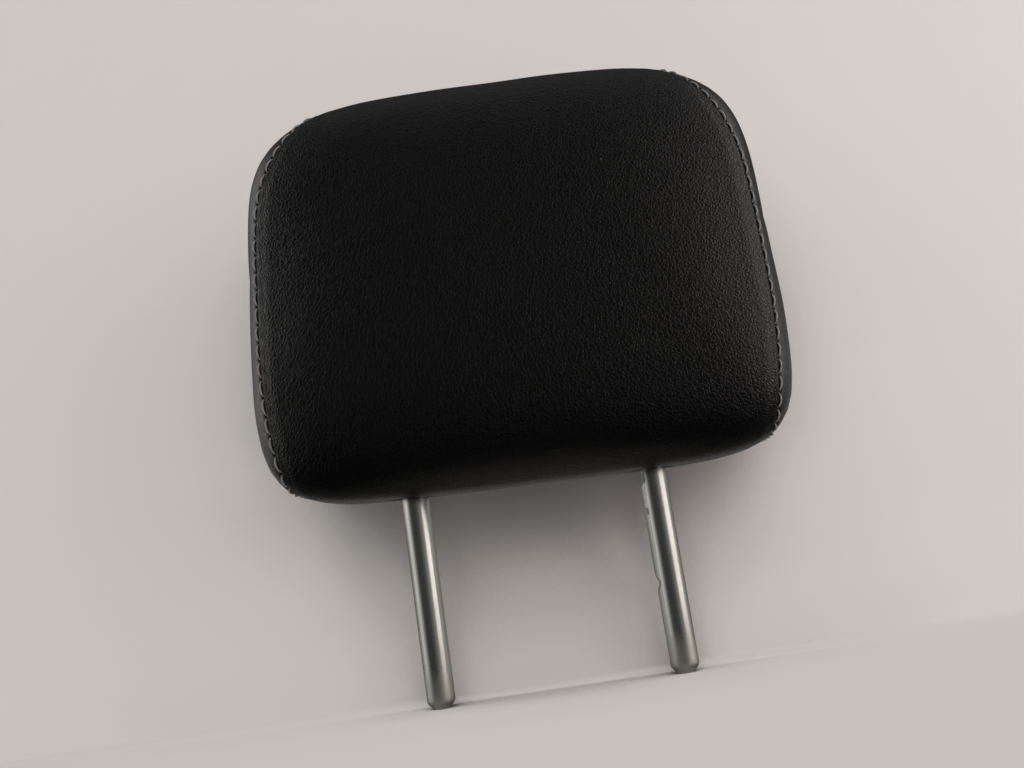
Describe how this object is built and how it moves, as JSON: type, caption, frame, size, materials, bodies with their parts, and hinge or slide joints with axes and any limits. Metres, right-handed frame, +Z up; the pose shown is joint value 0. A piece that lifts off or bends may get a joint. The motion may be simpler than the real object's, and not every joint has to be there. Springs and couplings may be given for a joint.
{
  "type": "car headrest",
  "caption": "Padded leather car headrest on a bent chrome-plated tube whose straight posts slide into a seat back, one of them with height notches.",
  "frame": {"origin": "midway between the lower ends of the two posts, where the seat's guide sleeves hold them", "axes": "+Z up along the posts, -Y the way the padded face looks, +X towards the notched post"},
  "size_m": [0.2628, 0.1175, 0.3194],
  "materials": {
    "chrome": "bright chrome plating, dull and scuffed near the lower ends",
    "leather": "black, fine pebbled grain, satin",
    "foam": "moulded polyurethane foam",
    "carrier_plastic": "moulded, matte",
    "strip_plastic": "extruded, smooth",
    "screw_steel": "zinc plated",
    "thread": "twisted polyester sewing thread, pale grey"
  },
  "bodies": {
    "root": {"post_armature": "chrome", "carrier_front_shell": "carrier_plastic", "carrier_rear_shell": "carrier_plastic", "carrier_screw_1": "screw_steel", "carrier_screw_2": "screw_steel", "carrier_screw_3": "screw_steel", "carrier_screw_4": "screw_steel", "foam_core": "foam", "cover_centre_panel": "leather", "cover_left_side": "leather", "cover_right_side": "leather", "closure_strip_front": "strip_plastic", "closure_strip_rear": "strip_plastic"}
  },
  "joints": []
}
